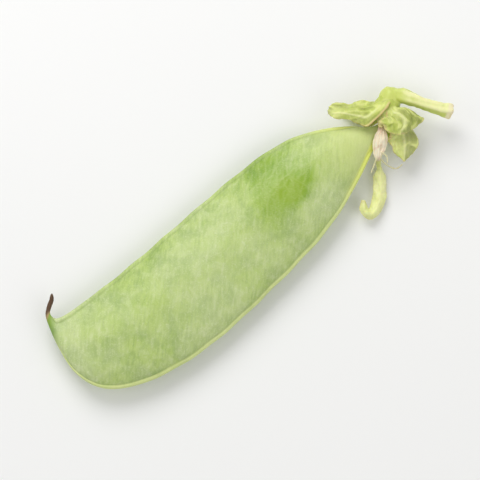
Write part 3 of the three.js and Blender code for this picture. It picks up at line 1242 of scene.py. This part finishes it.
        strength = np.zeros(s.shape)
        for sign, seed in zip((1.0, -1.0), self.vein_seeds):
            net = VeinNet(seed).grow(width_at)
            columns = np.flatnonzero(side[0] == sign)
            wanted = np.stack([s[:, columns], q[:, columns], 0 * s[:, columns]], -1).reshape(-1, 3)
            known = np.stack([net[:, 0], net[:, 1], 0 * net[:, 0]], -1)
            index, _ = nearest(known, wanted, 1)
            away = np.linalg.norm(known[index[:, 0]] - wanted, axis=1)
            here = net[index[:, 0], 2] * bell(away, self.vein_width)
            strength[:, columns] = here.reshape(len(s), -1)
        return strength


# ---------------------------------------------------------------- the calyx


class Tip(Enum):
    """How a lobe of the calyx ends."""

    POINTED = "pointed"
    BLUNT = "blunt"


@dataclass(frozen=True)
class Lobe:
    """One lobe of the calyx, or the scale in its mouth, from inside the cup's wall to its tip."""

    angle: float  # where it leaves the cup, in degrees from the ventral side over the top
    widths: tuple[float, ...]  # at even steps along it
    curl: float  # how far its edges lift, as a share of the width
    face: Point  # the way that its outer face turns
    path: tuple[Point, ...]
    tip: Tip
    # painted shade: the olive edge is the half of the lobe that turns from the light
    olive: tuple[float, float]  # how olive it is at its two edges
    cleft: tuple[float, float]  # how brown its two edges are beside the cup
    pale: tuple[float, ...]  # how pale it is, at even steps along it
    dry: float
    seed: int
    shifts: tuple[float, ...] = (0.0, 0.0)  # how far it lies to one side of its path, at even steps
    rib_at: float = 0.0  # where its midrib runs, as a share of the half width


@dataclass
class Calyx:
    """The cup with its five lobes, which have begun to wither, and a dry scale in its mouth."""

    cup_base: Point = (-6.5, 3.95, 5.5)
    cup_slant: Point = (0.82, -0.565, -0.08)
    cup_profile: tuple[tuple[float, float], ...] = (
        (0.05, -0.9), (2.1, -0.9), (2.4, -0.4), (2.7, 0.6), (2.95, 1.7), (3.15, 3.0), (3.2, 3.8),
        (3.05, 4.0), (2.8, 3.85), (2.65, 3.0), (2.45, 2.2), (1.85, 1.3), (0.05, 0.9),
    )
    mouth_radius: float = 3.2
    mouth_depth: float = 4.0
    lobe_thickness: float = 0.32
    crumple: float = 0.17
    fold: float = 0.15
    rib_height: float = 0.09
    wrinkles: Ripples = Ripples(41, 1.3)
    wrinkle_height: float = 0.05
    fine_wrinkles: Ripples = Ripples(42, 0.6)
    fine_wrinkle_height: float = 0.02
    midrib_width: float = 0.11  # as a share of the half width
    side_vein_width: float = 0.4
    side_vein_strength: float = 0.2
    rib_pairs: int = 5  # round the cup
    rib_width: float = 0.35
    rib_strength: float = 0.4
    mouth_rim: float = 1.2  # depth of the dry band at the mouth
    wave_size: float = 2.4
    fold_size: float = 2.8
    bend_size: float = 3.0
    bend: float = 0.7  # how far the folds wander, in mm
    raggedness: float = 0.04
    steepest: float = 2.5  # how much thicker a blade may measure upright where its folds are steep
    cup_rows: int = 90
    cup_round: int = 120
    lobe_rows: int = 110
    lobe_round: int = 96
    voxel: float = 0.105
    smoothing: int = 2
    lobes: tuple[Lobe, ...] = (
        Lobe(
            angle=45,
            widths=(4.1, 4.4, 4.9, 6.0, 4.6, 3.3, 3.6, 3.4, 1.8),
            shifts=(0.0, 0.2, 0.8, 1.2, 0.8, 0.5, 0.1, 0.0, -0.1),
            curl=-0.1,
            face=(0, 0.1, 1),
            path=(
                (-5.4, 4.8, 7.1), (-4.6, 4.8, 7.7), (-3.0, 5.2, 8.2), (-0.8, 6.2, 8.4),
                (1.3, 7.3, 8.3), (3.3, 8.6, 8.0), (5.4, 9.8, 7.3),
            ),
            tip=Tip.BLUNT,
            olive=(0.2, 0.15),
            cleft=(0.1, 0.5),
            pale=(0, 0, 0, 0, 0.1, 0.1, 0.2, 0.5),
            dry=0.15,
            seed=31,
            rib_at=0.35,
        ),
        Lobe(
            angle=118,
            widths=(1.6, 2.8, 5.4, 8.9, 10.1, 8.9, 6.2, 2.8),
            shifts=(-0.4, -0.7, -0.8, -0.05, 0.65, 0.55, -0.1, -0.3),
            curl=-0.1,
            face=(-0.25, -0.2, 1),
            path=(
                (-6.4, 3.0, 7.4), (-6.4, 1.9, 8.0), (-6.5, 0.6, 8.5), (-5.8, -1.1, 8.8),
                (-4.4, -3.5, 8.3),
            ),
            tip=Tip.BLUNT,
            olive=(0.1, 1.0),
            cleft=(0.6, 0.1),
            pale=(0.3, 0.3, 0.1, 0, 0, 0.2),
            dry=0.3,
            seed=32,
        ),
        Lobe(
            angle=165,
            widths=(4.0, 4.8, 6.2, 6.8, 6.0, 3.9, 0.5),
            shifts=(0.0, 0.0, -0.2, -0.2, -0.1, -0.1, 0.0),
            curl=-0.12,
            face=(-0.15, 0, 1),
            path=(
                (-6.0, 0.4, 6.0), (-5.0, -0.6, 5.7), (-5.1, -3.2, 5.9), (-3.7, -5.5, 5.8),
                (-1.7, -8.1, 5.1),
            ),
            tip=Tip.POINTED,
            olive=(0.0, 1.1),
            cleft=(0.3, 0.3),
            pale=(0, 0.2, 0.35, 0.3, 0.3),
            dry=0.25,
            seed=33,
        ),
        Lobe(
            angle=248,
            widths=(
                3.4, 2.9, 2.5, 2.1, 1.8, 1.6, 1.4, 1.3, 1.1, 1.1, 2.7,
                3.0, 3.0, 3.0, 2.9, 2.9, 2.7, 2.5, 2.2, 1.9, 1.6,
            ),
            curl=-0.24,
            face=(-0.2, -0.1, 1),
            path=(
                (-5.3, 1.9, 2.8), (-4.0, 0.9, 2.5), (-1.7, -1.7, 2.2), (2.0, -4.6, 2.0),
                (4.4, -8.3, 2.0), (7.3, -11.6, 2.1), (10.1, -12.8, 2.6), (10.9, -11.4, 3.1),
                (9.9, -9.5, 3.2),
            ),
            tip=Tip.BLUNT,
            olive=(0.0, 0.0),
            cleft=(0.2, 0.2),
            pale=(0.3, 0.3, 0.3, 0.4, 0.6, 1.1, 1.2, 1, 0.9, 0.9, 0.9),
            dry=0.15,
            seed=34,
        ),
        Lobe(
            angle=322,
            widths=(4.0, 4.6, 4.0, 3.2, 2.0, 0.5),
            curl=0.1,
            face=(0.3, 0.2, -1),
            path=((-3.4, 4.4, 3.7), (-2.0, 3.8, 3.4), (-0.8, 4.9, 2.3), (0.9, 7.1, 1.7), (2.6, 9.0, 1.5)),
            tip=Tip.POINTED,
            olive=(0.4, 0.2),
            cleft=(0.3, 0.3),
            pale=(0, 0),
            dry=0.3,
            seed=35,
        ),
        Lobe(
            angle=100,
            widths=(2.6, 2.8, 2.2, 0.8),
            curl=-0.05,
            face=(0, 0, 1),
            path=((-4.3, 2.2, 8.1), (-3.3, 1.7, 8.15), (-2.2, 1.0, 7.95), (-1.5, 0.5, 7.65)),
            tip=Tip.POINTED,
            olive=(0.1, 0.1),
            cleft=(0.0, 0.0),
            pale=(0.4, 0.4),
            dry=0.75,
            seed=36,
        ),
    )
    finish: CalyxFinish = field(default_factory=CalyxFinish)

    def __post_init__(self) -> None:
        """Works out the cup's own directions: down its depth, ventral and upwards."""
        self.deep = unit(at(self.cup_slant))
        self.to_top = unit(UP - self.deep * self.deep[2])
        self.to_ventral = np.cross(self.deep, self.to_top)

    def build(self) -> bpy.types.Object:
        """Builds the calyx.

        Returns:
            Its object, which stands for the plain solid.
        """
        blank = Surface()
        self._add_cup(blank)
        for lobe in self.lobes:
            self._add_lobe(blank, lobe)
        skin = blank.fused(self.voxel, self.smoothing)
        wrinkles = self.wrinkles.at(skin.points) * self.wrinkle_height
        wrinkles = wrinkles + self.fine_wrinkles.at(skin.points) * self.fine_wrinkle_height
        skin.push(skin.values["vein"] * self.rib_height + wrinkles)
        low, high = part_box("calyx")
        skin.keep_in(low, high)
        made = skin.to_object("calyx_leaf", self.finish.material())
        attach(made, BODY)
        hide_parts("calyx")
        return made

    def turned(self, profile: Array, points_round: int) -> tuple[Array, Array, Array]:
        """Turns a profile about the cup's axis.

        Args:
            profile: radius and depth of each ring.
            points_round: points in a ring.

        Returns:
            The rings, and the angle and the depth of each point. The angle is in radians from the
            ventral side over the top.
        """
        angle, radius = np.broadcast_arrays(turns(points_round)[None], profile[:, :1])
        depth = np.broadcast_to(profile[:, 1:], radius.shape)
        across = self.to_ventral * np.cos(angle)[..., None] + self.to_top * np.sin(angle)[..., None]
        rings = at(self.cup_base) + self.deep * depth[..., None] + across * radius[..., None]
        return rings, angle, depth

    def _add_cup(self, blank: Surface) -> None:
        """Adds the cup, a wall that is closed at the base.

        Args:
            blank: the surface that it is added to.
        """
        profile = through(self.cup_profile, np.linspace(0, 1, self.cup_rows))
        rings, angle, depth = self.turned(profile, self.cup_round)
        mouth = ramp(depth, self.mouth_depth - self.mouth_rim, self.mouth_depth)
        ribs = bell(np.sin(angle * self.rib_pairs), self.rib_width) * self.rib_strength
        ribs = ribs * ramp(depth, 0.2, 1.5)
        blank.add_tube(rings, vein=ribs, dry=mouth * 0.9, olive=0.1, crest=0.5)

    def _add_lobe(self, blank: Surface, lobe: Lobe) -> None:
        """Adds one lobe: a thin blade, curved across like the cup where it leaves it.

        Args:
            blank: the surface that it is added to.
            lobe: its sizes.
        """
        theta = math.radians(lobe.angle)
        radial = self.to_ventral * math.cos(theta) + self.to_top * math.sin(theta)
        facing = unit(at(lobe.face))
        waves, edges = Ripples(lobe.seed, self.wave_size), Ripples(lobe.seed + 50, self.wave_size)
        folds, bends = Ripples(lobe.seed + 70, self.fold_size, 8), Ripples(lobe.seed + 90, self.bend_size, 6)
        full_height = self.crumple + self.fold

        def height(t: Array, across: Array) -> Array:
            """Height of the blade's folds.

            Args:
                t: shares along the blade.
                across: places across it, in mm.

            Returns:
                The height in mm at each place.
            """
            spot = np.stack([t * 6, across], -1)
            spot = spot + self.bend * bends.at(spot)[..., None]
            return waves.at(spot) * self.crumple + folds.folds(spot) * self.fold

        def out_at(t: Array) -> Array:
            """The way that the outer face turns."""
            share = ramp(t, 0.1, 0.6)[:, None]
            return radial * (1 - share) + facing * share

        def section(t: Array, a: Array) -> tuple[Array, Array]:
            """A cut across the blade.

            Args:
                t: shares along the blade.
                a: angles round it.

            Returns:
                Across and out, in mm.
            """
            width = through(lobe.widths, t)
            if lobe.tip is Tip.BLUNT:
                width = width * np.sqrt(np.clip(1 - ramp(t, 0.93, 1.0) ** 2 * 0.7, 0, 1))
            v = np.cos(a)
            ragged = edges.at(np.stack([t * 9, np.sign(v) * 2], -1)) * self.raggedness
            half = width / 2 * (1 + ragged * np.abs(v) * ramp(t, 0.2, 0.4))
            sag = self.mouth_radius * (1 - np.cos(np.minimum(1, width / 2 / self.mouth_radius)))
            lift_share = ramp(t, 0.1, 0.5)
            lift = -sag * (1 - lift_share) + lobe.curl * width * lift_share
            swing = ramp(t, 0.15, 0.4) * (0.6 + 0.7 * v**2)
            wave = height(t, v * half) * swing
            slope = (height(t, v * half + STEP) - height(t, v * half - STEP)) * swing / (2 * STEP)
            thick = blade(self.lobe_thickness, a) * np.minimum(self.steepest, np.hypot(1, slope))
            return through(lobe.shifts, t) + half * v, thick + lift * v**2 + wave

        rings, t, a = sweep(Path(lobe.path), self.lobe_rows, out_at, section, self.lobe_round)
        v = np.cos(a)
        midrib = bell(v - lobe.rib_at, self.midrib_width)
        side_veins = bell(np.sin(v * math.pi * 3.2), self.side_vein_width) * self.side_vein_strength
        vein = np.maximum(midrib, side_veins) * ramp(t, 0.05, 0.3) * (1 - ramp(t, 0.85, 1.0))
        rim = ramp(np.abs(v), 0.8, 1.0)
        dry = lobe.dry * (0.4 + 0.6 * ramp(t, 0.3, 1.0)) + rim * 0.45 + ramp(t, 0.9, 1.0) * 0.3
        dry = dry + np.where(v < 0, *lobe.cleft) * ramp(np.abs(v), 0.5, 0.9) * (1 - ramp(t, 0.3, 0.55))
        olive = np.interp(v, (-0.3, 0.3), lobe.olive) * ramp(t, 0.2, 0.4)
        # the height of the folds, painted as highlight on their crests and as shade in their valleys
        crest = 0.5 + 0.5 * height(t, v * through(lobe.widths, t) / 2) / full_height
        pale = through(lobe.pale, t)
        blank.add_tube(rings, vein=vein, dry=dry, olive=olive, crest=np.clip(crest, 0, 1), pale=pale)


# ---------------------------------------------------------------- the stalk


@dataclass
class Stalk:
    """The ribbed stalk, with the knob that carries the calyx and a broken end."""

    path: Path = Path(
        ((-8.3, 4.8, 6.1), (-9.1, 3.8, 6.8), (-10.3, 1.9, 7.1), (-12.7, -1.7, 6.7), (-15.8, -5.5, 5.6))
    )
    radius: float = 1.25
    shoulder_radius: float = 1.6
    cut_radius: float = 1.6
    root_share: float = 0.7  # radius of the end inside the knob, as a share of the shoulder's
    knob_radius: float = 2.45
    knob_height: float = 3.0
    knob_profile: tuple[tuple[float, float], ...] = (
        (0.02, -0.34), (0.92, -0.34), (0.97, -0.24), (0.99, 0.1), (0.97, 0.38), (0.88, 0.66),
        (0.6, 0.9), (0.02, 1.0),
    )
    ribs: int = 5
    rib_share: float = 0.07
    rib_height: float = 0.08
    dents: Ripples = Ripples(61, 1.6)
    dent_height: float = 0.05
    twist: float = 0.9
    # painted highlight: the side of the rod that gets the painted highlight stripe
    highlight_side: float = 1.2  # where its pale stripe runs, in radians from the side towards the pod
    knob_offset: float = 0.3
    knob_rows: int = 50
    knob_round: int = 80
    rod_rows: int = 120
    rod_round: int = 60
    voxel: float = 0.12
    smoothing: int = 22
    finish: StalkFinish = field(default_factory=StalkFinish)

    def build(self, calyx: Calyx) -> bpy.types.Object:
        """Builds the stalk.

        Args:
            calyx: the calyx that the knob carries.

        Returns:
            Its object, which stands for the plain solid.
        """
        blank = Surface()
        self._add_knob(blank, calyx)
        self._add_rod(blank)
        skin = blank.fused(self.voxel, self.smoothing)
        skin.push(skin.values["rib"] * self.rib_height + self.dents.at(skin.points) * self.dent_height)
        low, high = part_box("stalk")
        skin.keep_in(low, high)
        made = skin.to_object("stalk_skin", self.finish.material())
        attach(made, BODY)
        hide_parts("stalk")
        return made

    def _add_knob(self, blank: Surface, calyx: Calyx) -> None:
        """Adds the knob, outwards from the base of the calyx.

        Args:
            blank: the surface that it is added to.
            calyx: the calyx that it carries.
        """
        profile = through(self.knob_profile, np.linspace(0, 1, self.knob_rows))
        depth = -(profile[:, 1:] * self.knob_height + self.knob_offset)
        scaled = np.hstack([profile[:, :1] * self.knob_radius, depth])
        rings, _, _ = calyx.turned(scaled, self.knob_round)
        blank.add_tube(rings, rib=0.4)

    def _add_rod(self, blank: Surface) -> None:
        """Adds the rod, from inside the knob to the broken end.

        Args:
            blank: the surface that it is added to.
        """

        def section(t: Array, a: Array) -> tuple[Array, Array]:
            """A cut across the rod, with its ribs.

            Args:
                t: shares along the rod.
                a: angles round it.

            Returns:
                Across and out, in mm.
            """
            thicker = (self.shoulder_radius - self.radius) * (1 - ramp(t, 0.1, 0.5))
            smooth = self.radius + thicker + (self.cut_radius - self.radius) * ramp(t, 0.7, 1)
            smooth = smooth * (self.root_share + (1 - self.root_share) * ramp(t, 0, 0.18))
            ridge = np.cos(self.ribs * (a + self.twist * t))
            r = smooth * (1 + self.rib_share * ridge)
            return r * np.cos(a), r * np.sin(a)

        rings, t, a = sweep(self.path, self.rod_rows, upwards, section, self.rod_round)
        ridge = 0.5 + 0.5 * np.cos(self.ribs * (a + self.twist * t))
        # lit: a painted highlight stripe down one side of the rod, with painted shade on the other, added to
        # its real ribs
        lit = 0.5 + 0.5 * np.cos(a - self.highlight_side)
        rib = 0.4 + (0.3 * ridge + 0.8 * lit**2 - 0.4) * ramp(t, 0.05, 0.3)
        blank.add_tube(rings, rib=rib, cut=ramp(t, 0.86, 1.0))


# ---------------------------------------------------------------- the stamen sheath


@dataclass
class StamenSheath:
    """The withered tube of the stamens, which bends over the neck, with loose threads."""

    path: Path = Path(
        (
            (-2.9, 1.3, 6.8), (-2.1, 0.7, 6.95), (-1.2, -0.5, 7.25), (0.5, -2.2, 7.1),
            (2.1, -3.8, 6.2), (2.6, -4.8, 5.3),
        )
    )
    widths: tuple[float, ...] = (1.2, 1.6, 2.9, 3.0, 2.1, 0.9)
    sag: float = 0.16
    thickness: float = 0.42
    pleats: int = 4
    thread_paths: tuple[Path, ...] = (
        Path(((1.9, -3.7, 6.2), (1.9, -5.8, 5.2), (0.7, -8.2, 5.0), (-0.9, -8.4, 5.6))),
        Path(((2.2, -3.8, 6.1), (3.9, -4.9, 5.9), (5.6, -6.0, 6.1))),
        Path(((1.5, -3.3, 6.4), (0.9, -5.0, 6.9), (1.7, -6.4, 7.7))),
    )
    thread_radius: float = 0.2
    thread_taper: float = 0.3
    pleat_height: float = 0.12
    crumple: Ripples = Ripples(72, 2.2)
    crumple_height: float = 0.16
    wrinkles: Ripples = Ripples(71, 0.8)
    wrinkle_height: float = 0.03
    strip_rows: int = 90
    strip_round: int = 96
    thread_rows: int = 60
    thread_round: int = 12
    voxel: float = 0.08
    smoothing: int = 3
    finish: SheathFinish = field(default_factory=SheathFinish)

    def build(self) -> bpy.types.Object:
        """Builds the sheath and its threads.

        Returns:
            Their object, which stands for the plain solid.
        """
        blank = Surface()
        self._add_strip(blank)
        for path in self.thread_paths:
            self._add_thread(blank, path)
        skin = blank.fused(self.voxel, self.smoothing)
        skin.push(self.wrinkles.at(skin.points) * self.wrinkle_height)
        low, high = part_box("stamen_sheath")
        skin.keep_in(low, high)
        made = skin.to_object("dry_petal", self.finish.material())
        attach(made, BODY)
        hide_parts("stamen_sheath")
        return made

    def _add_strip(self, blank: Surface) -> None:
        """Adds the strip, pleated lengthwise.

        Args:
            blank: the surface that it is added to.
        """

        def section(t: Array, a: Array) -> tuple[Array, Array]:
            """A cut across the strip.

            Args:
                t: shares along the strip.
                a: angles round it.

            Returns:
                Across and out, in mm.
            """
            width = through(self.widths, t)
            v = np.cos(a)
            beat = self.pleats * math.pi * (v + 0.12 * np.sin(5 * t + 2 * v))
            pleat = self.pleat_height * np.cos(beat) * ramp(t, 0.1, 0.3) * (1 - 0.5 * ramp(t, 0.5, 0.9))
            wave = self.crumple.at(np.stack([t * 6, v * 1.5], -1)) * self.crumple_height
            height = blade(self.thickness, a) - self.sag * width * v**2 + pleat + wave
            return width / 2 * v, height

        rings, t, a = sweep(self.path, self.strip_rows, upwards, section, self.strip_round)
        pleat = 0.5 + 0.5 * np.cos(self.pleats * math.pi * np.cos(a))
        blank.add_tube(rings, pleat=pleat, thread=ramp(t, 0.9, 1.0), aged=1 - ramp(t, 0.1, 0.55))

    def _add_thread(self, blank: Surface, path: Path) -> None:
        """Adds one thread, thinner towards its end.

        Args:
            blank: the surface that it is added to.
            path: the line that its middle follows.
        """

        def section(t: Array, a: Array) -> tuple[Array, Array]:
            """A cut across the thread."""
            r = self.thread_radius * (1 - self.thread_taper * t)
            return r * np.cos(a), r * np.sin(a)

        rings, t, _ = sweep(path, self.thread_rows, upwards, section, self.thread_round)
        blank.add_tube(rings, pleat=0.5, thread=0.3 + 0.7 * ramp(t, 0.0, 0.3))


# ---------------------------------------------------------------- the studio


class Light(Enum):
    """The soft boxes of the studio."""

    KEY = "key"
    FILL = "fill"
    BACK = "back"


@dataclass(frozen=True)
class SoftBox:
    """One soft box: where it stands, as azimuth, elevation and distance, its size and its power."""

    azimuth: float
    elevation: float
    distance: float
    size: float
    power: float


@dataclass
class Studio:
    """The floor, the lights and the camera."""

    azimuth: float = -36.3
    elevation: float = 85.0
    distance: float = 0.45
    lens: float = 160.0
    nearest_seen: float = 0.01
    target: Point = (-0.0043, 0.0, 0.003)
    floor_size: float = 6.0
    sky: float = 0.47
    boxes: dict[Light, SoftBox] = field(
        default_factory=lambda: {
            Light.KEY: SoftBox(azimuth=165, elevation=44, distance=0.6, size=0.4, power=1.9),
            Light.FILL: SoftBox(azimuth=20, elevation=50, distance=0.7, size=0.6, power=1.0),
            Light.BACK: SoftBox(azimuth=-128, elevation=36, distance=0.7, size=0.5, power=0.4),
        }
    )
    floor: FloorFinish = field(default_factory=FloorFinish)

    def build(self) -> None:
        """Builds the floor, the lights and the camera."""
        self._add_floor()
        self._add_sky()
        for role, box in self.boxes.items():
            self._add_box(role, box)
        self._add_camera()
        bpy.context.scene.view_settings.view_transform = "Standard"

    def _aim(
        self, name: str, data: bpy.types.ID, stand: Studio | SoftBox, target: Vector
    ) -> bpy.types.Object:
        """Adds a light or a camera, turned to the object.

        Args:
            name: the object's name.
            data: the light or the camera.
            stand: what gives its azimuth, elevation and distance.
            target: the point that it is turned to.

        Returns:
            Its object.
        """
        a, e = math.radians(stand.azimuth), math.radians(stand.elevation)
        away = Vector((math.sin(a) * math.cos(e), -math.cos(a) * math.cos(e), math.sin(e)))
        made = add_object(name, data)
        made.location = target + away * stand.distance
        made.rotation_euler = away.to_track_quat("Z", "Y").to_euler()
        return made

    def _add_floor(self) -> None:
        """Lays the floor under the object."""
        half = self.floor_size / 2
        mesh = bpy.data.meshes.new("floor")
        corners = [(-half, -half, 0), (half, -half, 0), (half, half, 0), (-half, half, 0)]
        mesh.from_pydata(corners, [], [(0, 1, 2, 3)])
        mesh.materials.append(self.floor.material())
        floor = add_object("floor", mesh)

    def _add_sky(self) -> None:
        """Surrounds the scene with even white light."""
        world = bpy.data.worlds.new("sky")
        world.use_nodes = True
        background = world.node_tree.nodes["Background"]
        background.inputs["Color"].default_value = (1.0, 1.0, 1.0, 1.0)
        background.inputs["Strength"].default_value = self.sky
        bpy.context.scene.world = world

    def _add_box(self, role: Light, box: SoftBox) -> None:
        """Hangs one soft box, turned to the object.

        Args:
            role: what the box is for.
            box: its sizes.
        """
        light = bpy.data.lights.new(role.value, "AREA")
        light.shape, light.size, light.energy = "DISK", box.size, box.power
        self._aim(role.value, light, box, Vector())

    def _add_camera(self) -> None:
        """Sets up the camera."""
        lens = bpy.data.cameras.new("camera")
        lens.lens, lens.clip_start = self.lens, self.nearest_seen
        bpy.context.scene.camera = self._aim("camera", lens, self, Vector(self.target))


# ---------------------------------------------------------------- the whole


def main() -> None:
    """Builds every piece in order and reports each one."""
    logging.basicConfig(level=logging.INFO, format="%(name)s: %(message)s")
    Studio().build()
    calyx = Calyx()
    for make in (Pod().build, calyx.build, lambda: Stalk().build(calyx), StamenSheath().build):
        piece = make()
        log.info("%s has %d points", piece.name, len(piece.data.vertices))


if __name__ == "__main__":
    main()
